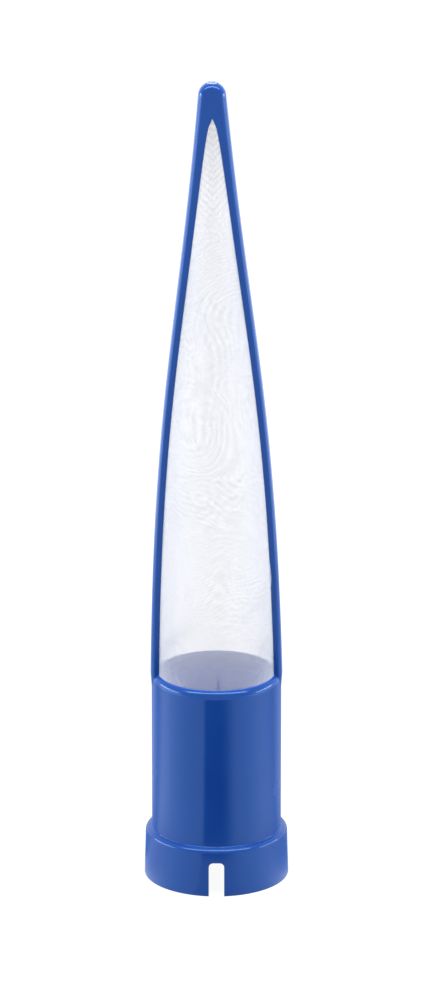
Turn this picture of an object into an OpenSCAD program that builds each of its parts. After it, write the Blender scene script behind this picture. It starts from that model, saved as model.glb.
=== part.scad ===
// Urea filter: a tall strainer that stands in the filler neck of a urea tank.
// A blue moulded cage carries a cone of fine white mesh. Millimetres, +Z up,
// origin at the middle of the foot. The slot in the flange faces -Y.

/* [Collar] */
// Outside diameter of the plain collar
collar_od = 43; // [38:0.5:44]
// Height of the collar's rim above the foot
rim_h = 71; // [50:1:100]
// Wall thickness of the moulding
wall = 2.2; // [1.8:0.1:3]
// How far the rim's outer rounding reaches in from the side
rim_round_w = 1.5; // [0.6:0.1:1.5]
// How far the rim's outer rounding reaches down the side
rim_round_h = 2.7; // [1:0.1:5]

/* [Flange] */
// Diameter of the flange at its foot
flange_od = 48; // [47:0.5:56]
// Height of the flange
flange_h = 16.5; // [12:0.5:30]
// How much the flange's radius shrinks from its foot to its top
flange_draft = 0.4; // [0:0.1:0.8]
// Radius of the rounding on the flange's top edge
flange_round = 1.6; // [0.4:0.1:1.6]
// Radius of the hollow where the flange's top meets the collar
root_round = 0.4; // [0.2:0.1:1]
// Radius of the rounding on the flange's lower edge
foot_round = 0.4; // [0.2:0.1:0.8]

/* [Slot] */
// Width of the slot in the flange
slot_w = 5.1; // [3:0.1:10]
// Height of the slot above the foot
slot_h = 11.7; // [6:0.1:14]
// Radius of the slot's two upper corners
slot_round = 1.5; // [0.5:0.1:1.5]

/* [Cage] */
// Height of the whole filter
total_h = 272; // [200:1:340]
// Width of each rib at the rim
rib_w_rim = 9.5; // [6:0.1:14]
// Width of each rib at the tip
rib_w_tip = 5.7; // [4:0.1:8]
// Depth of the flat cut on each outer edge of the cage
rib_edge = 0.3; // [0.1:0.05:0.6]
// Diameter of the round tip
tip_d = 8.9; // [7:0.1:14]
// Diameter of the small flat on the tip
tip_flat_d = 2.8; // [1:0.1:4]
// Inward lean of the ribs at the rim, in degrees
rim_lean = 1.2; // [0:0.1:4]
// Inward lean of the ribs at the tip, in degrees
tip_lean = 5.3; // [2:0.1:12]
// Share of the cage's height over which the lean at the rim fades
rim_ease = 0.49; // [0.2:0.01:0.6]
// Share of the cage's height over which the lean at the tip fades
tip_ease = 0.41; // [0.2:0.01:0.6]
// How far the ribs run down inside the collar's wall
rib_root = 7; // [4:0.5:12]

/* [Mesh] */
// Thickness of the woven mesh
mesh_t = 0.25; // [0.1:0.05:0.5]
// Clearance between the mesh and its seat
mesh_gap = 0.05; // [0.02:0.01:0.2]
// How far the mesh reaches down into the collar
mesh_grip = 6; // [3:0.5:15]

/* [Hidden] */
$fn = 96;

// Steps along the cage's long curve, round its tip, and on each small rounding
curve_steps = 22;
tip_steps = 8;
round_steps = 6;
overlap = 1;

// The collar's wall is thinned by the mesh, which lies flush in its bore
collar_r = collar_od / 2;
bore_r = collar_r - wall;
seat_r = bore_r + mesh_t;
seat_h = rim_h - mesh_grip;
flange_r = flange_od / 2;
flange_top_r = flange_r - flange_draft;
skirt_r = flange_r - wall;
skirt_h = flange_h - wall;
top_round = min(flange_round, flange_top_r - collar_r - root_round);

// The tip is a ball with a small flat, and the long curve runs into it
tip_r = tip_d / 2;
tip_z = total_h - sqrt(pow(tip_r, 2) - pow(tip_flat_d / 2, 2));
tip_flat_angle = acos(tip_flat_d / tip_d);
rib_rim = [seat_r + wall, rim_h];
rib_tip = [tip_r * cos(tip_lean), tip_z + tip_r * sin(tip_lean)];
cage_h = rib_tip[1] - rib_rim[1];

// Control points of the long curve, as [radius, height]
long_curve = [
    rib_rim,
    rib_rim + rim_ease * cage_h * [-tan(rim_lean), 1],
    rib_tip - tip_ease * cage_h * [-tan(tip_lean), 1],
    rib_tip
];

function bezier(p, t) =
    pow(1 - t, 3) * p[0] + 3 * pow(1 - t, 2) * t * p[1]
    + 3 * (1 - t) * pow(t, 2) * p[2] + pow(t, 3) * p[3];

function heading(p, t) =
    pow(1 - t, 2) * (p[1] - p[0]) + 2 * (1 - t) * t * (p[2] - p[1])
    + pow(t, 2) * (p[3] - p[2]);

// A point of the long curve, moved inwards at right angles to it
function inset(t, depth) =
    let (along = heading(long_curve, t))
    bezier(long_curve, t) - depth * [along[1], -along[0]] / norm(along);

function tip_point(share, depth, last_angle) =
    let (a = tip_lean + (last_angle - tip_lean) * share)
    [(tip_r - depth) * cos(a), tip_z + (tip_r - depth) * sin(a)];

// Outline of the cage from the rim to the tip, at a depth below its outside
function outline(depth, last_angle = 90) = concat(
    [for (i = [0 : curve_steps]) inset(i / curve_steps, depth)],
    [for (i = [1 : tip_steps]) tip_point(i / tip_steps, depth, last_angle)]
);

// The same outline with its points halfway between those of the outside
midway = concat(
    [for (i = [0.5 : curve_steps]) inset(i / curve_steps, 0)],
    [for (i = [0.5 : tip_steps]) tip_point(i / tip_steps, 0, tip_flat_angle)]
);

// A quarter of an ellipse that turns from one direction to another
function quarter(centre, size, start) = [
    for (i = [0 : round_steps])
        let (a = start + 90 * i / round_steps)
        centre + [size[0] * cos(a), size[1] * sin(a)]
];

function reversed(list) = [for (i = [len(list) - 1 : -1 : 0]) list[i]];

// Half of the rib's width at a height, which grows straight from tip to rim
function rib_half(z) =
    (rib_w_tip + (rib_w_rim - rib_w_tip) * (total_h - z) / (total_h - rim_h)) / 2;

// The ribs' roots thin out inside the collar's wall
root_z = rim_h - rib_root;
root_outer_r = collar_r - mesh_t;
root_inner_r = (seat_r + root_outer_r) / 2;

// Direction of the flat on a rib's outer edge, halfway between its two faces
edge_angle = (90 + asin(rib_half(rim_h) / rib_rim[0])) / 2;

// How far a rib's edge, less its flat, stands from the axis in that direction.
// Near the tip's top the ribs are round and have no edge to cut.
function edge_reach(p) =
    let (half = rib_half(p[1]))
    p[0] * sin(edge_angle) > half + rib_edge
        ? sqrt(pow(p[0], 2) - pow(half, 2)) * cos(edge_angle)
            + half * sin(edge_angle) - rib_edge
        : p[0] + overlap;

// Section of the collar and its flange
module collar_section() {
    polygon(concat(
        [[bore_r, skirt_h], [skirt_r, skirt_h], [skirt_r, 0]],
        quarter([flange_r - foot_round, foot_round], [foot_round, foot_round], 270),
        quarter([flange_top_r - top_round, flange_h - top_round],
            [top_round, top_round], 0),
        reversed(quarter([collar_r + root_round, flange_h + root_round],
            [root_round, root_round], 180)),
        quarter([collar_r - rim_round_w, rim_h - rim_round_h],
            [rim_round_w, rim_round_h], 0),
        [[seat_r, rim_h], [seat_r, seat_h], [bore_r, seat_h]]
    ));
}

// Section of the cage before its windows are cut, with its root in the collar
module cage_section() {
    polygon(concat(
        [[root_inner_r, root_z], [root_outer_r, root_z]],
        outline(0, tip_flat_angle),
        [[0, total_h]],
        reversed(outline(wall))
    ));
}

// Straight-sided slab that leaves the two ribs and cuts the two windows
module rib_slab() {
    rotate([90, 0, 90])
        linear_extrude(height = 2 * flange_od, center = true)
            polygon([
                [-rib_half(root_z - overlap), root_z - overlap],
                [rib_half(root_z - overlap), root_z - overlap],
                [rib_half(total_h + overlap), total_h + overlap],
                [-rib_half(total_h + overlap), total_h + overlap]
            ]);
}

// Everything outside the flat on one rib's outer edge. Its facets meet midway
// along those of the cage, so that no two corners fall together.
module edge_cutter() {
    rotate([0, 0, edge_angle])
        rotate([90, 0, 0])
            linear_extrude(height = 2 * flange_od, center = true)
                polygon(concat(
                    [[edge_reach(midway[0]), root_z - overlap]],
                    [for (p = midway) [edge_reach(p), p[1]]],
                    [[flange_od, total_h], [flange_od, root_z - overlap]]
                ));
}

// Everything outside the flat round the edge of one face of the tip
module tip_cutter() {
    half = rib_half(tip_z);
    edge_r = sqrt(pow(tip_r, 2) - pow(half, 2));
    turn = (90 + asin(half / tip_r)) / 2;
    reach = edge_r * cos(turn) + half * sin(turn) - rib_edge;
    top = half + 2 * rib_edge;
    translate([0, 0, tip_z])
        rotate([90, 0, 0])
            rotate_extrude(angle = 180)
                polygon([
                    [(reach - top * sin(turn)) / cos(turn), top],
                    [tip_r, (reach - tip_r * cos(turn)) / sin(turn)],
                    [tip_r, top]
                ]);
}

// Two ribs that lean together into the tip
module cage() {
    difference() {
        intersection() {
            rotate_extrude() cage_section();
            rib_slab();
        }
        for (x = [0, 1], y = [0, 1])
            mirror([x, 0, 0]) mirror([0, y, 0]) edge_cutter();
        for (y = [0, 1])
            mirror([0, y, 0]) tip_cutter();
    }
}

// Slot that faces -Y, open at the foot
module slot() {
    rotate([90, 0, 0])
        linear_extrude(height = flange_r + overlap) {
            translate([-slot_w / 2, -overlap])
                square([slot_w, slot_h - slot_round + overlap]);
            translate([-slot_w / 2 + slot_round, -overlap])
                square([slot_w - 2 * slot_round, slot_h + overlap]);
            for (side = [-1, 1])
                translate([side * (slot_w / 2 - slot_round), slot_h - slot_round])
                    circle(r = slot_round);
        }
}

// One moulding: flange, collar, two ribs and tip
module frame() {
    color("#1f4fa3")
        difference() {
            union() {
                rotate_extrude() collar_section();
                cage();
            }
            slot();
        }
}

// Closed cone of mesh that lies against the cage and on the collar's shoulder
module mesh_sock() {
    outside = wall + mesh_gap;
    inside = outside + mesh_t;
    hem_z = seat_h + mesh_gap;
    color("#eef0f4", 0.6)
        rotate_extrude()
            polygon(concat(
                [[seat_r - mesh_gap, hem_z]],
                outline(outside),
                reversed(outline(inside)),
                [[seat_r - mesh_gap - mesh_t, hem_z]]
            ));
}

frame();
mesh_sock();
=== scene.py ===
import math

import bmesh
import bpy
import numpy as np
from mathutils import Matrix, Vector, noise


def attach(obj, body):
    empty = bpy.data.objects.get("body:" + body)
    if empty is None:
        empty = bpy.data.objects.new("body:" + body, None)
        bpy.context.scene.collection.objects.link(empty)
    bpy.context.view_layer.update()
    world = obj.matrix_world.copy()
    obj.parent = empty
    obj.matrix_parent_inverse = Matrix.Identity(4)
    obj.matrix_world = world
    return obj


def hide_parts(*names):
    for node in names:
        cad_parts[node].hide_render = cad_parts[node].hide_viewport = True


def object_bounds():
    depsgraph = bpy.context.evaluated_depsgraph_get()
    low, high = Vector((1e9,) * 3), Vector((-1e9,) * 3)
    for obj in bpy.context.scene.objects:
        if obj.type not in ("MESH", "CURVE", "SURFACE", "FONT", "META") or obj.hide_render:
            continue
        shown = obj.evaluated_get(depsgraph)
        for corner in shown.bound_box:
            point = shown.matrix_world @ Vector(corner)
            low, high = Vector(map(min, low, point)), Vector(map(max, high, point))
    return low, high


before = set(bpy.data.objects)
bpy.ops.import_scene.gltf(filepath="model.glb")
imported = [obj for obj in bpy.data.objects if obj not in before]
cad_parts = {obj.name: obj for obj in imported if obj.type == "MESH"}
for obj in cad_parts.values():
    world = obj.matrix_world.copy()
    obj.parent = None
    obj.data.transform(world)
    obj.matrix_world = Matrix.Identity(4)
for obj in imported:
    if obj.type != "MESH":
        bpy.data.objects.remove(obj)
cadLow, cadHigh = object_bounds()

mm = 0.001                                  # pieces are drawn in millimetres, the scene is in metres
totalHeight = cadHigh.z / mm
flangeRadius = cadHigh.x / mm


# One output socket. Sums and products of wires add Math nodes, and make() adds any other node.
class Wire:
    def __init__(self, tree, socket=None):
        self.tree = tree
        self.socket = socket

    def make(self, kind, settings=None, values=None, output=0):
        node = self.tree.nodes.new(kind)
        for name, setting in (settings or {}).items():
            if name == "stops":
                elements = node.color_ramp.elements
                while len(elements) < len(setting):
                    elements.new(0.5)
                for element, (place, shade) in zip(elements, setting):
                    element.position = place
                    element.color = (shade, shade, shade, 1)
            else:
                setattr(node, name, setting)
        for name, value in (values or {}).items():
            if isinstance(value, Wire):
                self.tree.links.new(value.socket, node.inputs[name])
            else:
                node.inputs[name].default_value = value
        return Wire(self.tree, node.outputs[output] if node.outputs else None)

    def maths(self, operation, *values, clamp=False):
        settings = {"operation": operation, "use_clamp": clamp}
        return self.make("ShaderNodeMath", settings, dict(enumerate(values)))

    def __add__(self, other):
        return self.maths("ADD", self, other)

    def __sub__(self, other):
        return self.maths("SUBTRACT", self, other)

    def __rsub__(self, other):
        return self.maths("SUBTRACT", other, self)

    def __mul__(self, other):
        return self.maths("MULTIPLY", self, other)

    def __truediv__(self, other):
        return self.maths("DIVIDE", self, other)

    __radd__ = __add__
    __rmul__ = __mul__

    def sine(self):
        return self.maths("SINE", self)

    def size(self):
        return self.maths("ABSOLUTE", self)

    def atLeast(self, low):
        return self.maths("MAXIMUM", self, low)

    def atMost(self, high):
        return self.maths("MINIMUM", self, high)

    # 0 below the first value, 1 above the second, smooth between them
    def step(self, low, high):
        settings = {"interpolation_type": "SMOOTHSTEP"}
        values = {"Value": self, "From Min": low, "From Max": high}
        return self.make("ShaderNodeMapRange", settings, values)

    # The same between two values in millimetres
    def stepMm(self, low, high):
        return self.step(low * mm, high * mm)

    # A colour between two others
    def blend(self, low, high):
        return self.make("ShaderNodeMix", {"data_type": "RGBA"}, {0: self, 6: low, 7: high}, output=2)

    def noise(self, scale, detail=0):
        return self.make("ShaderNodeTexNoise", {}, {"Vector": self, "Scale": scale, "Detail": detail})

    # Patches where the noise is above the first level, full above the second
    def patches(self, scale, detail, low, high):
        return self.noise(scale, detail).step(low, high)

    def distance(self, point):
        return self.make("ShaderNodeVectorMath", {"operation": "DISTANCE"}, {0: self, 1: point}, output=1)

    def parts(self):
        node = self.make("ShaderNodeSeparateXYZ", {}, {"Vector": self}).socket.node
        return [Wire(self.tree, socket) for socket in node.outputs]

    # 1 for the named kinds of ray and 0 for the others
    def rays(self, *kinds):
        found = [self.make("ShaderNodeLightPath", output=f"Is {kind} Ray") for kind in kinds]
        total = found[0]
        for other in found[1:]:
            total = total.atLeast(other)
        return total


# Cage: the long curve from the rim to the tip, which ribs and mesh follow
cageSizes = {
    "rimHeight": 71,
    "seatRadius": 19.55,                    # the mesh's seat inside the rim
    "wall": 2.2,
    "tipRadius": 4.45,
    "gateRadius": 1.4,                      # small flat on the tip, where the plastic went in
    "rimLean": math.radians(1.2),
    "tipLean": math.radians(5.3),
    "rimEase": 0.49,                        # share of the cage's height over which each lean fades
    "tipEase": 0.41,
    "ribAtRim": 9.5,
    "ribAtTip": 5.7,
    "ribEdge": 1.0,                         # rounding of the ribs' outer edges
    "ribEdgeSteps": 6,
    "ribRoot": 7,                           # how far a rib runs down inside the collar's wall
    "rootThinning": (0.5, 0.8),             # how much thinner its end is there, outside and inside
    "ribRows": 64,                          # sections of a rib up to the top of the windows
    "crownRows": 30,                        # and from there over to the middle of the tip
    "ribShares": [-1, -0.54, -0.18, 0.18, 0.54, 1],    # corners across a rib, in halves of its width
    "faceLoop": 0.7,                        # place of the corner on a rib's face, from its outside
    "sideLean": math.radians(0.41),         # the whole cage leans a little to -X
    "swell": 0.12,                          # how far the ribs' rounded outside stands proud
    "crown": 0.45,                          # how far the tip is drawn up
    "crownPower": 6,                        # how close to the tip most of that happens
    "meshGap": 0.05,
    "meshThickness": 0.25,
    "meshGrip": 6,
}

rimHeight = cageSizes["rimHeight"]
tipRadius = cageSizes["tipRadius"]
tipHeight = totalHeight - math.sqrt(tipRadius ** 2 - cageSizes["gateRadius"] ** 2)

# Distances in millimetres under which corners are merged, faces dropped and places held to be equal
nearness = {"merge": 0.001, "mergeSolid": 0.002, "flat": 0.0005, "place": 0.05}


# Radii and heights of the cage's outline, from the rim to the tip, at a depth below its outside
def cageOutline(depth, samples=400):
    rimLean, tipLean = cageSizes["rimLean"], cageSizes["tipLean"]
    start = np.array([cageSizes["seatRadius"] + cageSizes["wall"], rimHeight])
    end = np.array([tipRadius * math.cos(tipLean), tipHeight + tipRadius * math.sin(tipLean)])
    reach = end[1] - start[1]
    afterStart = start + cageSizes["rimEase"] * reach * np.array([-math.tan(rimLean), 1])
    beforeEnd = end - cageSizes["tipEase"] * reach * np.array([-math.tan(tipLean), 1])
    t = np.linspace(0, 1, samples)[:, None]
    points = ((1 - t) ** 3 * start + 3 * (1 - t) ** 2 * t * afterStart
              + 3 * (1 - t) * t ** 2 * beforeEnd + t ** 3 * end)
    along = ((1 - t) ** 2 * (afterStart - start) + 2 * (1 - t) * t * (beforeEnd - afterStart)
             + t ** 2 * (end - beforeEnd))
    along /= np.linalg.norm(along, axis=1)[:, None]
    side = points - depth * np.stack([along[:, 1], -along[:, 0]], axis=1)
    a = np.linspace(tipLean, math.pi / 2, samples)[1:, None]
    ball = np.array([0, tipHeight]) + (tipRadius - depth) * np.hstack([np.cos(a), np.sin(a)])
    return np.vstack([side, ball])


# Half of a rib's width at a height
def ribHalf(z):
    growth = (cageSizes["ribAtRim"] - cageSizes["ribAtTip"]) / (totalHeight - rimHeight)
    return (cageSizes["ribAtTip"] + growth * (totalHeight - z)) / 2


outerOutline = cageOutline(-cageSizes["swell"])
innerOutline = cageOutline(cageSizes["wall"] - cageSizes["meshGap"])


def radiusAt(outline, z):
    return float(np.interp(z, outline[:, 1], outline[:, 0]))


# Radius of a rib's outside or inside. Below the rim the rib thins out inside the collar's wall.
def ribRadius(outline, z):
    share = max(rimHeight - z, 0) / cageSizes["ribRoot"]
    outside, inside = cageSizes["rootThinning"]
    shift = share * (-outside if outline is outerOutline else inside)
    return radiusAt(outline, max(z, rimHeight)) + shift


# Last place between two values where a test still holds
def lastWhere(holds, low, high, halvings=40):
    for _ in range(halvings):
        middle = (low + high) / 2
        if holds(middle):
            low = middle
        else:
            high = middle
    return low


# Top of the windows, where the ribs' inner faces run together
def windowTop():
    return lastWhere(lambda z: radiusAt(innerOutline, z) > ribHalf(z), rimHeight, tipHeight)


# How far the leaning cage has moved sideways at a height, and how far its tip is drawn up
def leanAt(z):
    return -math.tan(cageSizes["sideLean"]) * max(z - rimHeight, 0)


def riseAt(z):
    share = max((z - rimHeight) / (totalHeight - rimHeight), 0)
    return cageSizes["crown"] * share ** cageSizes["crownPower"]


# Frame: flange, collar, ribs and tip as one moulding
collarSizes = {
    "radius": 21.5,
    "wall": 2.2,
    "rimRounding": (1.8, 2.7),              # in from the side, and down it
    "seatHeight": rimHeight - cageSizes["meshGrip"],
    "flangeHeight": 16.5,
    "flangeTopRadius": 23.6,
    "flangeRounding": 1.6,
    "rootRounding": 0.4,
    "footRounding": 0.15,
    "innerRounding": 0.2,
    "skirtRounding": 0.6,
    "steps": 144,                           # round the axis, so that no corner falls on the slot's sides
    "sharpAngle": math.radians(38),         # edges that turn by more stay sharp
}

slotSizes = {
    "width": 5.1,
    "height": 11.7,
    "cornerRadius": 1.5,
    "cornerSteps": 8,
    "edgeRounding": 0.22,
    "edgeSteps": 3,
    "edgeAngle": 0.7,                       # radians that an edge turns by before it is rounded
    "edgeDepth": 0.6,                       # how far inside the flange's radius its edges lie
}


# Points of a quarter ellipse that starts at an angle and turns left, or right where turn is -90
def quarterArc(centre, size, start, steps, turn=90):
    angles = [math.radians(start + turn * i / steps) for i in range(steps + 1)]
    return [(centre[0] + size[0] * math.cos(a), centre[1] + size[1] * math.sin(a)) for a in angles]


# Half section of the collar and the flange, as radius and height
def collarSection():
    s = collarSizes
    bore = s["radius"] - s["wall"]
    skirt, skirtTop = flangeRadius - s["wall"], s["flangeHeight"] - s["wall"]
    foot, root, inner, deep = s["footRounding"], s["rootRounding"], s["innerRounding"], s["skirtRounding"]
    top = min(s["flangeRounding"], s["flangeTopRadius"] - s["radius"] - root)
    inX, downZ = s["rimRounding"]
    seat = cageSizes["seatRadius"]
    return (
        quarterArc((bore + inner, skirtTop + inner), (inner, inner), 180, steps=3)
        + quarterArc((skirt - deep, skirtTop - deep), (deep, deep), 90, steps=4, turn=-90)
        + quarterArc((skirt + inner, inner), (inner, inner), 180, steps=3)
        + quarterArc((flangeRadius - foot, foot), (foot, foot), 270, steps=3)
        + quarterArc((s["flangeTopRadius"] - top, s["flangeHeight"] - top), (top, top), 0, steps=9)
        + quarterArc((s["radius"] + root, s["flangeHeight"] + root), (root, root), 270, steps=4, turn=-90)
        + quarterArc((s["radius"] - inX, rimHeight - downZ), (inX, downZ), 0, steps=12)
        + [(seat, rimHeight), (seat, s["seatHeight"]), (bore, s["seatHeight"])]
    )


# Brings a finished piece from millimetres to metres
def scaleAndSmooth(bm):
    bmesh.ops.scale(bm, vec=(mm, mm, mm), verts=bm.verts)
    for face in bm.faces:
        face.smooth = True


def newObject(name, bm):
    mesh = bpy.data.meshes.new(name)
    bm.to_mesh(mesh)
    bm.free()
    made = bpy.data.objects.new(name, mesh)
    bpy.context.scene.collection.objects.link(made)
    return made


# Turns a chain of points about the Z axis
def spinRound(bm, chain, steps):
    bmesh.ops.spin(bm, geom=chain, cent=(0, 0, 0), axis=(0, 0, 1), dvec=(0, 0, 0),
                   angle=math.tau, steps=steps, use_merge=True)
    bmesh.ops.remove_doubles(bm, verts=bm.verts, dist=nearness["merge"])
    bmesh.ops.recalc_face_normals(bm, faces=bm.faces)


def makeCollar():
    bm = bmesh.new()
    section = [bm.verts.new((r, 0, z)) for r, z in collarSection()]
    loop = [bm.edges.new(pair) for pair in zip(section, section[1:] + section[:1])]
    spinRound(bm, section + loop, collarSizes["steps"])
    return newObject("collar", bm)


def bevelEdges(bm, edges, radius, steps, clamp):
    bmesh.ops.bevel(bm, geom=edges, offset=radius, offset_type="OFFSET", affect="EDGES",
                    segments=steps, profile=0.5, material=-1, clamp_overlap=clamp)


def makeSlotCutter():
    bm = bmesh.new()
    depth, below, height = 6, 2, slotSizes["height"]
    bmesh.ops.create_cube(bm, size=1)
    bmesh.ops.scale(bm, vec=(slotSizes["width"], depth, height + below), verts=bm.verts)
    bmesh.ops.translate(bm, vec=(0, -flangeRadius, (height - below) / 2), verts=bm.verts)

    def isUpper(e):
        runsInwards = abs(e.verts[0].co.y - e.verts[1].co.y) > depth / 2
        return runsInwards and all(v.co.z > height / 2 for v in e.verts)

    upper = [e for e in bm.edges if isUpper(e)]
    bevelEdges(bm, upper, slotSizes["cornerRadius"], slotSizes["cornerSteps"], False)
    return newObject("slotCutter", bm)


# Distance from the pivot at the top of the windows to an outline, in a direction phi above
# the horizontal, at a share v of the rib's half width
def reachTo(outline, pivot, phi, v):
    def isInside(t):
        z = pivot + t * math.sin(phi)
        return math.hypot(t * math.cos(phi), v * ribHalf(z)) < radiusAt(outline, z)

    return lastWhere(isInside, 0, flangeRadius)


# One section of a rib, as a ring of points: over the outside, down one face, back over the
# inside and up the other face. Where z is given it is level, and otherwise it turns about the pivot.
def ribSection(pivot, z=None, phi=0.0):
    across = cageSizes["ribShares"]
    sides = []
    for outline, shares in ((outerOutline, across), (innerOutline, across[::-1])):
        points = []
        for v in shares:
            if z is None:
                t = reachTo(outline, pivot, phi, v)
                height = pivot + t * math.sin(phi)
                points.append(Vector((t * math.cos(phi), v * ribHalf(height), height)))
            else:
                y = v * ribHalf(z)
                x = math.sqrt(max(ribRadius(outline, z) ** 2 - y ** 2, 0))
                points.append(Vector((x, y, z)))
        sides.append(points)
    outer, inner = sides
    down = outer[-1].lerp(inner[0], cageSizes["faceLoop"])
    up = outer[0].lerp(inner[-1], cageSizes["faceLoop"])
    return outer + [down] + inner + [up]


# Extrudes a ring of edges and sets the new ring on its points
def extrudeRing(bm, ring, points):
    edges = [bm.edges.get(pair) for pair in zip(ring, ring[1:] + ring[:1])]
    made = bmesh.ops.extrude_edge_only(bm, edges=edges)
    fresh = {v for v in made["geom"] if isinstance(v, bmesh.types.BMVert)}
    follows = [next(e.other_vert(v) for e in v.link_edges if e.other_vert(v) in fresh) for v in ring]
    for v, point in zip(follows, points):
        v.co = point
    return follows


# Sections of the rib at +X, from its root in the collar to the middle of the tip
def ribSections():
    pivot = windowTop()
    root, belowRim, clear = rimHeight - cageSizes["ribRoot"], 4, 0.5
    levels = [root, rimHeight - belowRim] + list(np.linspace(rimHeight, pivot, cageSizes["ribRows"]))
    turns = [math.atan2(z - pivot, r) for r, z in outerOutline if z > pivot + clear]
    spread = np.linspace(0, len(turns) - 1, cageSizes["crownRows"]).astype(int)
    crown = sorted({round(turns[i], 4) for i in spread})[:-1] + [math.pi / 2]
    return [ribSection(pivot, z=z) for z in levels] + [ribSection(pivot, phi=phi) for phi in crown]


def makeRibs():
    sections = ribSections()
    bm = bmesh.new()
    ring = [bm.verts.new(point) for point in sections[0]]
    rootEdges = [bm.edges.new(pair) for pair in zip(ring, ring[1:] + ring[:1])]
    for points in sections[1:]:
        ring = extrudeRing(bm, ring, points)
    bmesh.ops.edgeloop_fill(bm, edges=rootEdges)
    for v in ring:
        v.co.x = 0
    everything = bm.verts[:] + bm.edges[:] + bm.faces[:]
    bmesh.ops.mirror(bm, geom=everything, axis="X", merge_dist=nearness["flat"])
    bmesh.ops.remove_doubles(bm, verts=bm.verts, dist=nearness["mergeSolid"])
    bmesh.ops.dissolve_degenerate(bm, edges=bm.edges, dist=nearness["flat"])
    bmesh.ops.recalc_face_normals(bm, faces=bm.faces)
    roundRibEdges(bm)
    cutGateFlat(bm)
    for v in bm.verts:
        v.co.x += leanAt(v.co.z)
        v.co.z += riseAt(v.co.z)
    return newObject("ribs", bm)


# Rounds the two outer edges that run up one rib, over the tip and down the other
def roundRibEdges(bm):
    lowest = rimHeight - 5

    def onEdge(v):
        onFace = abs(abs(v.co.y) - ribHalf(v.co.z)) < nearness["place"]
        onOutside = math.hypot(v.co.x, v.co.y) > ribRadius(outerOutline, v.co.z) - nearness["place"]
        return onFace and onOutside and v.co.z > lowest

    def runsAlong(e):
        sameSide = e.verts[0].co.y * e.verts[1].co.y > 0
        return sameSide and all(onEdge(v) for v in e.verts)

    edges = [e for e in bm.edges if runsAlong(e)]
    bevelEdges(bm, edges, cageSizes["ribEdge"], cageSizes["ribEdgeSteps"], True)


gateSizes = {
    "slice": 0.12,                          # depth of the slice under the CAD's top
    # steps of the stump, in from the step before and up from it
    "steps": [(0.08, 0.0), (0.08, 0.24), (0.35, 0.12), (0.3, 0.03)],
}


# Slices the tip's top off and leaves the stump of the gate there, a low button
def cutGateFlat(bm):
    geometry = bm.verts[:] + bm.edges[:] + bm.faces[:]
    place = (0, 0, totalHeight - gateSizes["slice"])
    cut = bmesh.ops.bisect_plane(bm, geom=geometry, plane_co=place, plane_no=(0, 0, 1), clear_outer=True)
    edges = [g for g in cut["geom_cut"] if isinstance(g, bmesh.types.BMEdge)]
    cap = bmesh.ops.edgeloop_fill(bm, edges=edges)["faces"]
    for inward, rise in gateSizes["steps"]:
        bmesh.ops.inset_region(bm, faces=cap, thickness=inward, depth=0)
        bmesh.ops.translate(bm, vec=(0, 0, rise), verts=cap[0].verts[:])


def applyBoolean(target, cutter, operation):
    modifier = target.modifiers.new(operation.title(), "BOOLEAN")
    modifier.operation = operation
    modifier.solver = "EXACT"
    modifier.object = cutter
    graph = bpy.context.evaluated_depsgraph_get()
    made = bpy.data.meshes.new_from_object(target.evaluated_get(graph))
    target.modifiers.clear()
    target.data = made
    bpy.data.objects.remove(cutter)


def makeFrame():
    body = makeCollar()
    applyBoolean(body, makeSlotCutter(), "DIFFERENCE")
    applyBoolean(body, makeRibs(), "UNION")
    bm = bmesh.new()
    bm.from_mesh(body.data)
    bmesh.ops.remove_doubles(bm, verts=bm.verts, dist=nearness["mergeSolid"])
    roundSlotEdges(bm)
    scaleAndSmooth(bm)
    bm.to_mesh(body.data)
    bm.free()
    body.name = body.data.name = "mouldedFrame"
    body.data.set_sharp_from_angle(angle=collarSizes["sharpAngle"])
    body.modifiers.new("Normals", "WEIGHTED_NORMAL").keep_sharp = True
    return body


# Rounds the slot's outline on the flange's outside
def roundSlotEdges(bm):
    near = nearness["place"]
    half, top = slotSizes["width"] / 2 + near, slotSizes["height"] + near
    foot = collarSizes["footRounding"] + near
    outside = flangeRadius - slotSizes["edgeDepth"]

    def onOutline(e):
        inSlot = all(abs(v.co.x) < half and v.co.z < top and v.co.y < 0 for v in e.verts)
        onOutside = all(math.hypot(v.co.x, v.co.y) > outside for v in e.verts)
        aboveFoot = any(v.co.z > foot for v in e.verts)
        isSharp = len(e.link_faces) == 2 and e.calc_face_angle() > slotSizes["edgeAngle"]
        return inSlot and onOutside and aboveFoot and isSharp

    edges = [e for e in bm.edges if onOutline(e)]
    bevelEdges(bm, edges, slotSizes["edgeRounding"], slotSizes["edgeSteps"], True)
    bmesh.ops.remove_doubles(bm, verts=bm.verts, dist=nearness["merge"])


# Mesh sock: one sheet of woven mesh, welded into a cone and tucked into the rim
sockSizes = {
    "columns": 180,
    "rows": 230,
    "hemRows": 6,
    "flat": (0.124, 0.207),                 # the cut sheet, width and length in metres
    "area": 0.0166,                         # its tapered cut
    "slack": 0.16,                          # strength of the mesh's wandering, which is mostly inwards
    "slackScale": 0.055,                    # size of that wandering, per millimetre
    "slackFade": (8, 30),                   # height over which it fades at the rim and at the tip
    "bulgeFade": (0.1, 1.0),                # how far beside a rib a bulge sets in
}

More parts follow.
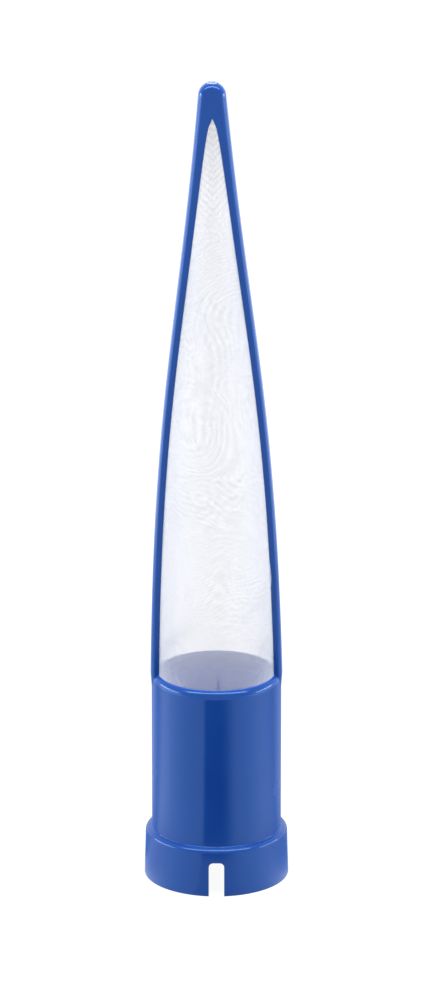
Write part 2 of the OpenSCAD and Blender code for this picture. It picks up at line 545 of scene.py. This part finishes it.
# Bulges, creases and pleats. Each lies at an angle from the front, + to the right, and at a height.
# It is long and wide in millimetres, turned from upright, moved outwards, and shaded by its creasing: painted
# shade in the mesh's colour where that is above 0, denser threads where it is below.
sockFolds = [
    {"angle": 69, "z": 105.5, "long": 8.5, "wide": 2.6, "turn": 4, "out": 1.0, "shade": 0.0},
    {"angle": 46, "z": 98.2, "long": 7.5, "wide": 1.3, "turn": 62, "out": -0.35, "shade": 0.8},
    {"angle": 50, "z": 101.4, "long": 6.0, "wide": 2.0, "turn": 62, "out": 0.3, "shade": -0.2},
    {"angle": 58, "z": 84.0, "long": 6.0, "wide": 1.4, "turn": 52, "out": -0.3, "shade": 0.6},
    {"angle": -44, "z": 87.3, "long": 9.5, "wide": 2.4, "turn": 51, "out": -0.4, "shade": 0.7},
    {"angle": -66, "z": 104.0, "long": 7.0, "wide": 2.4, "turn": -4, "out": 0.35, "shade": 0.0},
    {"angle": -40, "z": 72.6, "long": 2.6, "wide": 0.6, "turn": -38, "out": 0.2, "shade": -0.6},
    {"angle": 2, "z": 72.4, "long": 2.6, "wide": 0.5, "turn": 4, "out": -0.2, "shade": 1.0},
    {"angle": 46, "z": 71.8, "long": 2.2, "wide": 0.6, "turn": 30, "out": 0.2, "shade": -0.5},
    {"angle": 54, "z": 72.6, "long": 2.2, "wide": 0.5, "turn": 30, "out": 0.2, "shade": -0.5},
    {"angle": 150, "z": 96.0, "long": 8.0, "wide": 2.0, "turn": 40, "out": -0.35, "shade": 0.4},
    {"angle": -135, "z": 118.0, "long": 9.0, "wide": 2.4, "turn": -50, "out": -0.3, "shade": 0.3},
    {"angle": 176, "z": 73.0, "long": 2.6, "wide": 0.6, "turn": 10, "out": -0.2, "shade": 0.8},
]


# Outward move and creasing of the mesh at an angle from the front and a height
def foldAt(angle, z, radius):
    out, shade = 0.0, 0.0
    for fold in sockFolds:
        turned = (angle - math.radians(fold["angle"]) + math.pi) % math.tau - math.pi
        across, up = turned * radius, z - fold["z"]
        turn = math.radians(fold["turn"])
        side = across * math.cos(turn) - up * math.sin(turn)
        along = across * math.sin(turn) + up * math.cos(turn)
        share = math.exp(-(side / fold["wide"]) ** 2 - (along / fold["long"]) ** 2)
        out += fold["out"] * share
        shade += fold["shade"] * share
    return out, shade


# 0 below the first value, 1 above the second, straight between them
def ramp(value, low, high):
    return min(max((value - low) / (high - low), 0), 1)


# Moves a point of the sock. It stays behind the ribs' inner faces and may bulge in the windows.
def slackenPoint(point, creaseShadeOf):
    radius, z = math.hypot(point.co.x, point.co.y), point.co.z
    stillRadius, stillHeight = 0.5, rimHeight - 0.5
    if radius < stillRadius or z < stillHeight:
        return
    angle = math.atan2(point.co.x, -point.co.y)
    out, shade = foldAt(angle, z, radius)
    inWindow = ramp(abs(point.co.y) - ribHalf(z), *sockSizes["bulgeFade"])
    wander = noise.noise(point.co * sockSizes["slackScale"]) - 0.5
    overRim, underTip = sockSizes["slackFade"]
    rise = ramp(z - rimHeight, 0, overRim) * ramp(tipHeight - z, 0, underTip)
    move = out * (inWindow if out > 0 else 1) + sockSizes["slack"] * wander * rise
    point[creaseShadeOf] = shade
    point.co.x *= 1 + move / radius
    point.co.y *= 1 + move / radius
    point.co.x += leanAt(z)
    point.co.z += riseAt(z)


# Lays the weave's threads along and across the sheet: u round the cone, v up it
def unwrapSock(bm):
    layer = bm.loops.layers.uv.new("weave")
    for face in bm.faces:
        centre = face.calc_center_median()
        middle = math.atan2(centre.x, -centre.y)
        radius = math.hypot(centre.x, centre.y)
        for loop in face.loops:
            co = loop.vert.co
            offAxis = math.hypot(co.x, co.y)
            angle = math.atan2(co.x, -co.y) if offAxis > nearness["place"] else middle
            turned = (angle - middle + math.pi) % math.tau - math.pi
            loop[layer].uv = ((middle + turned) * radius * mm, co.z * mm)


def makeSock():
    s = cageSizes
    outline = cageOutline(s["wall"] + s["meshGap"])
    lengths = np.concatenate([[0], np.cumsum(np.linalg.norm(np.diff(outline, axis=0), axis=1))])
    wanted = np.linspace(0, lengths[-1], sockSizes["rows"])
    radii = np.interp(wanted, lengths, outline[:, 0])
    heights = np.interp(wanted, lengths, outline[:, 1])
    hem = (s["seatRadius"] - s["meshGap"], rimHeight - s["meshGrip"] + s["meshGap"])
    lower = [(hem[0], z) for z in np.linspace(hem[1], rimHeight, sockSizes["hemRows"])[:-1]]

    bm = bmesh.new()
    section = [bm.verts.new((r, 0, z)) for r, z in lower + list(zip(radii, heights))]
    chain = [bm.edges.new(pair) for pair in zip(section, section[1:])]
    spinRound(bm, section + chain, sockSizes["columns"])
    unwrapSock(bm)
    creaseShadeOf = bm.verts.layers.float.new("crease")
    for point in bm.verts:
        slackenPoint(point, creaseShadeOf)
    scaleAndSmooth(bm)
    sock = newObject("meshSock", bm)
    wall = sock.modifiers.new("Weave", "SOLIDIFY")
    wall.thickness = s["meshThickness"] * mm
    wall.offset = -1
    return sock


# Blue plastic: satin, a little uneven, with tinted gloss, a torn gate mark, faint scuffs and painted light in
# the bore
plasticLook = {
    "colour": (0.0018, 0.0188, 0.143, 1),
    "paler": (0.0025, 0.0213, 0.155, 1),
    "inside": (0.012, 0.085, 0.48, 1),      # the bore painted paler: painted light where light comes through the wall
    "gate": (0.28, 0.3, 0.4, 1),
    "scuff": (0.03, 0.085, 0.3, 1),
    "scuffStrength": 0.35,
    "sheenTint": (0.15, 0.5, 1, 1),
    "roughness": 0.2,
    "rougher": {"mottle": 0.04, "scuff": 0.2, "gate": 0.35},
    "ior": 1.6,
    "polish": 0.3,                          # clear white gloss over it
    "polishRoughness": 0.08,
    "satin": 0.45,                          # soft blue sheen at the sides
    "satinRoughness": 0.6,
    "satinTint": (0.03, 0.26, 1, 1),
    # patches: the noise's scale and detail, and the levels where they start and are full
    "mottle": (70, 3, 0.3, 0.7),
    "gateSpecks": (2200, 2, 0.2, 0.5),
    "scuffStreaks": (260, 3, 0.25, 0.8),
    # unevenness: the noise's scale and detail, and its depth in millimetres
    "grain": (2600, 2, 0.004),
    "waves": (45, 1, 0.12),
    "tear": (1500, 2, 0.12),
    # soft edges in millimetres: the bore's outside the seat and at the rim, and the gate's foot
    "insideWall": (0.1, 0.9),
    "insideTop": (-0.5, 0.5),
    "gateFoot": (-0.02, 0.1),
    # middles of the scuffs, as angle from the front, height and radius in millimetres
    "scuffs": [(-72, 38, 2.2), (65, 32, 2.4), (-38, 9, 1.6), (140, 50, 2.4)],
    "scuffEdge": (0.3, 1.3),                # where a scuff fades, in shares of its radius
}


def newMaterial(name):
    material = bpy.data.materials.new(name)
    material.use_nodes = True
    material.node_tree.nodes.clear()
    return material, Wire(material.node_tree)


# Patches of fine scratches on the collar
def scuffMask(place):
    streaks = place.patches(*plasticLook["scuffStreaks"])
    radius = collarSizes["radius"]
    full, gone = plasticLook["scuffEdge"]
    total = 0
    for angle, z, reach in plasticLook["scuffs"]:
        a = math.radians(angle)
        middle = (radius * math.sin(a) * mm, -radius * math.cos(a) * mm, z * mm)
        total = total + (1 - place.distance(middle).stepMm(full * reach, gone * reach))
    return total * streaks


def bluePlastic():
    look = plasticLook
    material, wire = newMaterial("bluePlastic")
    place = wire.make("ShaderNodeTexCoord", output="Object")
    x, y, z = place.parts()
    offAxis = wire.maths("SQRT", x * x + y * y)

    def edge(value, start, name):
        low, high = look[name]
        return value.stepMm(start + low, start + high)

    def unevenness(name):
        scale, detail, depth = look[name]
        return place.noise(scale, detail) * (depth * mm)

    mottle = place.patches(*look["mottle"])
    scuff = scuffMask(place)
    # Painted light: the bore, inside the seat and under the rim, is painted a paler blue
    inside = 1 - edge(offAxis, cageSizes["seatRadius"], "insideWall")
    inside = inside * (1 - edge(z, rimHeight, "insideTop"))
    gate = edge(z, totalHeight + cageSizes["crown"], "gateFoot") * place.patches(*look["gateSpecks"])

    colour = mottle.blend(look["colour"], look["paler"])
    colour = inside.blend(colour, look["inside"])
    colour = (scuff * look["scuffStrength"]).blend(colour, look["scuff"])
    colour = gate.blend(colour, look["gate"])
    roughness = look["roughness"]
    for mask, name in ((mottle, "mottle"), (scuff, "scuff"), (gate, "gate")):
        roughness = roughness + mask * look["rougher"][name]
    height = unevenness("grain") + unevenness("waves") + gate * unevenness("tear")
    principled = wire.make("ShaderNodeBsdfPrincipled", {}, {
        "Base Color": colour,
        "Roughness": roughness,
        "Specular Tint": look["sheenTint"],
        "IOR": look["ior"],
        "Coat Weight": look["polish"],
        "Coat Roughness": look["polishRoughness"],
        "Sheen Weight": look["satin"],
        "Sheen Roughness": look["satinRoughness"],
        "Sheen Tint": look["satinTint"],
        "Normal": wire.make("ShaderNodeBump", {}, {"Height": height, "Distance": 1.0}),
    })
    wire.make("ShaderNodeOutputMaterial", {}, {"Surface": principled})
    return material


# White mesh: translucent threads with gaps, the fringes that two layers of weave make, and painted shade
# beside the ribs and in the creases
meshLook = {
    "colour": (0.99, 0.992, 1.0, 1),
    "shaded": (0.72, 0.725, 0.75, 1),       # in the fringes
    # painted shade in the creases
    "crease": (0.48, 0.52, 0.60, 1),
    # painted shade beside the ribs and over the mesh's middle heights
    "besideRib": (0.52, 0.56, 0.66, 1),
    "roughness": 0.55,
    "glowing": 0.5,                         # share of the threads' look that is light from behind
    "pitch": 0.36,                          # of the threads, in millimetres
    "threadDepth": 0.03,
    "cover": 0.225,                         # share of one face of the wall that the threads fill
    "weaveCover": 0.05,                     # how much that share varies along the threads
    "fringeCover": 0.012,                   # and in the fringes
    "pleatCover": 0.12,                     # how much denser the mesh is in its pleats
    "sideCover": 0.06,                      # how much denser it looks beside the ribs
    "mouthCover": (0.2, 73, 80),            # how much more so at the rim, and the heights where it fades
    "hemCover": (0.3, 64.5, 70.5),          # share of the cover that the hem keeps, and where it ends
}

# Shade beside the ribs. A trio is a strength, and the heights in millimetres where it starts and is full.
ribShadeLook = {
    "window": (18.9, 0.062, 3),             # half a window's width at the foot, its narrowing and its least
    "overRim": (69.5, 74),
    "line": 0.1,                            # narrow shade along the rib
    "lineWidth": 2.5,
    "wide": 0.8,                            # shade that fades out in the middle of the window
    "wideLoss": (0.45, 85, 125),
    "between": 0.55,                        # more shade halfway from the rib to the middle
    "betweenPlace": (0.3, 1.3),             # where it fades, in shares of the window
    "betweenLoss": (0.25, 120, 150),
    "even": (0.24, 85, 140),                # shade all over
    "evenEnd": (190, 225),
    "tipLoss": (0.22, 215, 240),
}

# Fringes: contour lines of two smooth fields, which cross each other, and chevrons in the tip
fringeLook = {
    # the field's noise scale, the bands over its range, and the bands per metre of height or width
    "level": (38, 30, 230),
    "levelBend": (160, 6000),               # height in millimetres under which they bend, and how much
    "upright": (44, 26, 200),
    "uprightShift": (0.31, 0.17, 0.05),
    "levelStrength": 0.6,
    "uprightStrength": 0.5,
    "chevronScale": 60,
    "chevronWander": 4,                     # in millimetres, as are the next two
    "chevronPitch": 2.4,
    "chevronMiddle": -1.2,
    "chevronSlope": 0.9,
    "chevronStrength": 0.55,
    "chevronHeights": (215, 238),
    "bandsLoss": 0.75,                      # how much the other bands fade there
    "overRim": (64, 85),
    "strength": 0.85,
    "gains": [(0.18, 110, 135), (0.07, 150, 230)],    # more strength, and where it starts and is full
}


def fringeShade(wire, place):
    look = fringeLook
    x, y, z = place.parts()
    scale, wander, bands = look["level"]
    bendHeight, bend = look["levelBend"]
    below = (bendHeight * mm - z).atLeast(0.0)
    level = place.noise(scale) * wander + z * bands - below * below * bend
    scale, wander, bands = look["upright"]
    shifted = wire.make("ShaderNodeMapping", {}, {"Vector": place, "Location": look["uprightShift"]})
    upright = shifted.noise(scale) * wander + x * bands
    crossed = ((level * math.tau).sine() * look["levelStrength"]
               + (upright * math.tau).sine() * look["uprightStrength"])

    aside = (x - look["chevronMiddle"] * mm).size()
    wander = place.noise(look["chevronScale"]) * (look["chevronWander"] * mm)
    chevrons = ((z - aside * look["chevronSlope"] + wander) * (math.tau / (look["chevronPitch"] * mm))).sine()
    high = z.stepMm(*look["chevronHeights"])
    bands = crossed * (1 - high * look["bandsLoss"]) + chevrons * high * look["chevronStrength"]
    strength = look["strength"]
    for gain, start, full in look["gains"]:
        strength = strength + gain * z.stepMm(start, full)
    return bands * (z.stepMm(*look["overRim"]) * strength)


# How shaded the mesh is beside the ribs, and how near it is to one in its window
def ribShade(y, z):
    look = ribShadeLook
    atFoot, narrowing, least = look["window"]
    fromRib = y.size() - ribHalf(z / mm) * mm
    inWindow = fromRib / (atFoot * mm - z * narrowing).atLeast(least * mm)

    def rising(name):
        strength, start, full = look[name]
        return strength * z.stepMm(start, full)

    overRim = z.stepMm(*look["overRim"])
    line = 1 - fromRib.stepMm(0.0, look["lineWidth"])
    wide = 1 - inWindow.step(0.0, 1.0)
    shade = (line * look["line"] + wide * look["wide"]) * overRim * (1 - rising("wideLoss"))
    even = rising("even") * (1 - z.stepMm(*look["evenEnd"]))
    shade = (shade + even - rising("tipLoss")).atLeast(0.0)
    between = (1 - inWindow.step(*look["betweenPlace"])) * (1 - wide)
    return shade + between * (look["between"] - rising("betweenLoss")) * overRim, wide


# Share of one face of the wall that the threads fill
def threadCover(z, weave, fringe, crease, wide):
    look = meshLook
    more, lowest, highest = look["mouthCover"]
    sides = wide * (look["sideCover"] + more * (1 - z.stepMm(lowest, highest)))
    pleat = crease.atMost(0.0) * look["pleatCover"]
    left, lowest, highest = look["hemCover"]
    hem = left + (1 - left) * z.stepMm(lowest, highest)
    threads = look["cover"] + weave * look["weaveCover"] + fringe * look["fringeCover"]
    return (threads - pleat + sides) * hem


def whiteMesh():
    look = meshLook
    material, wire = newMaterial("whiteMesh")
    place = wire.make("ShaderNodeTexCoord", output="Object")
    x, y, z = place.parts()
    u, v, _ = wire.make("ShaderNodeTexCoord", output="UV").parts()
    turns = math.tau / (look["pitch"] * mm)
    weave = (u * turns).sine() * (v * turns).sine()
    crease = wire.make("ShaderNodeAttribute", {"attribute_name": "crease"}, output="Fac")
    fringe = fringeShade(wire, place)
    inFringe = wire.maths("ADD", fringe * 0.5, 0.5, clamp=True)
    besideRib, wide = ribShade(y, z)

    # The threads' colour darkens in the fringes, and takes painted shade beside the ribs and in the creases
    colour = look["colour"]
    through = wire.make("ShaderNodeBsdfTranslucent", {}, {"Color": look["colour"]})
    for share, name in ((inFringe, "shaded"), (besideRib, "besideRib"), (crease.atLeast(0.0), "crease")):
        darker = wire.make("ShaderNodeBsdfTranslucent", {}, {"Color": look[name]})
        through = wire.make("ShaderNodeMixShader", {}, {0: share, 1: through, 2: darker})
        colour = share.blend(colour, look[name])
    height = weave * (look["threadDepth"] * mm)
    threads = wire.make("ShaderNodeBsdfPrincipled", {}, {
        "Base Color": colour,
        "Roughness": look["roughness"],
        "Normal": wire.make("ShaderNodeBump", {}, {"Height": height, "Distance": 1.0}),
    })
    solid = wire.make("ShaderNodeMixShader", {}, {0: look["glowing"], 1: threads, 2: through})
    gaps = wire.make("ShaderNodeBsdfTransparent")
    cover = threadCover(z, weave, fringe, crease, wide)
    surface = wire.make("ShaderNodeMixShader", {}, {0: cover, 1: gaps, 2: solid})
    wire.make("ShaderNodeOutputMaterial", {}, {"Surface": surface})
    return material


# Studio: a pale floor, a plain white room, two lights overhead, and a box and a strip at each side
studioLook = {
    "floorSize": 8,
    "floorColour": 0.5,
    "floorSeen": 0.09,                      # its colour to the camera, which shows the object's shadow
    "daylight": 0.5,                        # how much the white room lights the object
    "glow": 0.93,                           # the floor's own white, to the camera
    # brightness that the gloss finds on the floor, by azimuth in degrees: 0 at the front, + to the right
    "ring": [(-180, 0.25), (-165, 0.35), (-146, 0.6), (-132, 0.4), (-118, 0.36), (-106, 1.25), (-93, 1.6),
             (-80, 1.55), (-50, 1.38), (-35, 1.35), (0, 1.2), (35, 1.35), (50, 1.4), (63, 1.5), (79, 1.55),
             (93, 1.1), (113, 0.4), (131, 0.5), (155, 0.4), (180, 0.25)],
    # how much brighter it is far out at the sides, and how much darker beside the object's foot,
    # with soft edges in degrees from the front and in metres from the axis
    "farBand": {"change": 1.4, "turned": (45, 75), "reach": (0.34, 0.46)},
    "footShade": {"change": 0.6, "turned": (55, 95), "reach": (0.03, 0.1)},
    # a dark patch painted into the floor's glow in front, which glossy rays see: its soft edges in degrees
    # and in metres, and how much of it is left nearer than that
    "paintedDarkPatch": {"left": (-21, -19), "right": (9, 35), "near": (0.06, 0.072), "far": (0.23, 0.25),
             "nearest": 0.3},
    "lampTarget": (0, 0, 0.1),
}

softboxes = [
    {"name": "overhead", "azimuth": 0, "elevation": 66, "distance": 1.2, "size": (2.2, 0.34),
     "radiance": 10.4, "mirrored": True},
    {"name": "topFill", "azimuth": 0, "elevation": 87, "distance": 1.2, "size": (0.9, 0.9),
     "radiance": 4.4, "mirrored": False},
    {"name": "leftBox", "azimuth": -96, "elevation": 17, "distance": 1.1, "size": (0.85, 0.75),
     "radiance": 2.1, "mirrored": False},
    {"name": "rightBox", "azimuth": 94, "elevation": 17, "distance": 1.1, "size": (0.85, 0.75),
     "radiance": 2.1, "mirrored": False},
    {"name": "leftStrip", "azimuth": -92, "elevation": 9, "distance": 1.1, "size": (0.95, 0.14),
     "radiance": 11, "mirrored": True},
    {"name": "rightStrip", "azimuth": 93, "elevation": 9, "distance": 1.1, "size": (0.85, 0.14),
     "radiance": 9.5, "mirrored": True},
]


def makeWorld():
    world = bpy.data.worlds.new("studio")
    world.use_nodes = True
    world.node_tree.nodes.clear()
    bpy.context.scene.world = world
    wire = Wire(world.node_tree)
    seen = wire.rays("Camera", "Glossy", "Transmission")
    strength = studioLook["daylight"] + seen * (1 - studioLook["daylight"])
    background = wire.make("ShaderNodeBackground", {}, {"Color": (1, 1, 1, 1), "Strength": strength})
    wire.make("ShaderNodeOutputWorld", {}, {"Surface": background})


# Points a camera or a lamp from an azimuth and an elevation at a target
def aim(thing, setup, target):
    a, e = math.radians(setup["azimuth"]), math.radians(setup["elevation"])
    back = Vector((math.sin(a) * math.cos(e), -math.cos(a) * math.cos(e), math.sin(e)))
    turn = (-back).to_track_quat("-Z", "Y").to_matrix().to_4x4()
    thing.matrix_world = Matrix.Translation(Vector(target) + back * setup["distance"]) @ turn


def makeLamps():
    for box in softboxes:
        lamp = bpy.data.lights.new(box["name"], "AREA")
        lamp.shape = "RECTANGLE"
        lamp.size, lamp.size_y = box["size"]
        lamp.energy = box["radiance"] * math.pi * box["size"][0] * box["size"][1]
        made = bpy.data.objects.new(box["name"], lamp)
        bpy.context.scene.collection.objects.link(made)
        aim(made, box, studioLook["lampTarget"])
        made.visible_camera = False
        made.visible_glossy = box["mirrored"]


# Brightness that a glossy ray finds where it meets the floor
def floorRing(wire):
    x, y, z = wire.make("ShaderNodeTexCoord", output="Object").parts()
    azimuth = wire.maths("ARCTAN2", x, 0 - y) * (180 / math.pi)
    reach = wire.maths("SQRT", x * x + y * y)
    turned = azimuth.size()
    brightest = 3                           # keeps the ramp's shades under 1
    stops = [((a + 180) / 360, shade / brightest) for a, shade in studioLook["ring"]]
    ring = wire.make("ShaderNodeValToRGB", {"stops": stops}, {"Fac": azimuth / 360 + 0.5}) * brightest

    # Painted dark patch in the floor's glow, which the gloss shows as a dark band
    paintedDarkPatch = studioLook["paintedDarkPatch"]
    sector = azimuth.step(*paintedDarkPatch["left"]) * (1 - azimuth.step(*paintedDarkPatch["right"]))
    near = paintedDarkPatch["nearest"] + (1 - paintedDarkPatch["nearest"]) * reach.step(*paintedDarkPatch["near"])
    darkPatchShare = sector * near * (1 - reach.step(*paintedDarkPatch["far"]))
    foot, band = studioLook["footShade"], studioLook["farBand"]
    atFoot = turned.step(*foot["turned"]) * (1 - reach.step(*foot["reach"]))
    farOut = turned.step(*band["turned"]) * reach.step(*band["reach"])
    return ring * (1 - darkPatchShare) * (1 - atFoot * foot["change"]) * (1 + farOut * band["change"])


def makeFloor():
    bm = bmesh.new()
    bmesh.ops.create_grid(bm, x_segments=1, y_segments=1, size=studioLook["floorSize"] / 2)
    floor = newObject("floor", bm)
    material, wire = newMaterial("floor")
    seen = wire.rays("Camera", "Transmission")
    glossy = wire.rays("Glossy")
    strength = seen * studioLook["glow"] + glossy * floorRing(wire)
    shade = studioLook["floorColour"] * (1 - glossy)
    shade = shade - seen * (studioLook["floorColour"] - studioLook["floorSeen"])
    colour = wire.make("ShaderNodeCombineColor", {}, {0: shade, 1: shade, 2: shade})
    plain = wire.make("ShaderNodeBsdfDiffuse", {}, {"Color": colour})
    glow = wire.make("ShaderNodeEmission", {}, {"Color": (1, 1, 1, 1), "Strength": strength})
    surface = wire.make("ShaderNodeAddShader", {}, {0: plain, 1: glow})
    wire.make("ShaderNodeOutputMaterial", {}, {"Surface": surface})
    floor.data.materials.append(material)


cameraSetup = {"azimuth": 0, "elevation": 18.5, "distance": 2.3, "lens": 251.77, "sensor": 36,
               "target": (-0.00032, 0, 0.13067)}


def makeCamera():
    camera = bpy.data.cameras.new("camera")
    camera.sensor_width = cameraSetup["sensor"]
    camera.lens = cameraSetup["lens"]
    made = bpy.data.objects.new("camera", camera)
    bpy.context.scene.collection.objects.link(made)
    aim(made, cameraSetup, cameraSetup["target"])
    bpy.context.scene.camera = made


# Putting it together
print("studio")
makeWorld()
makeLamps()
makeFloor()
makeCamera()
bpy.context.scene.view_settings.view_transform = "Standard"

print("moulded frame")
mouldedFrame = makeFrame()
mouldedFrame.data.materials.clear()
mouldedFrame.data.materials.append(bluePlastic())
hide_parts("frame")
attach(mouldedFrame, "root")

print("mesh sock")
meshSock = makeSock()
meshSock.data.materials.append(whiteMesh())
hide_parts("mesh_sock")
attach(meshSock, "root")
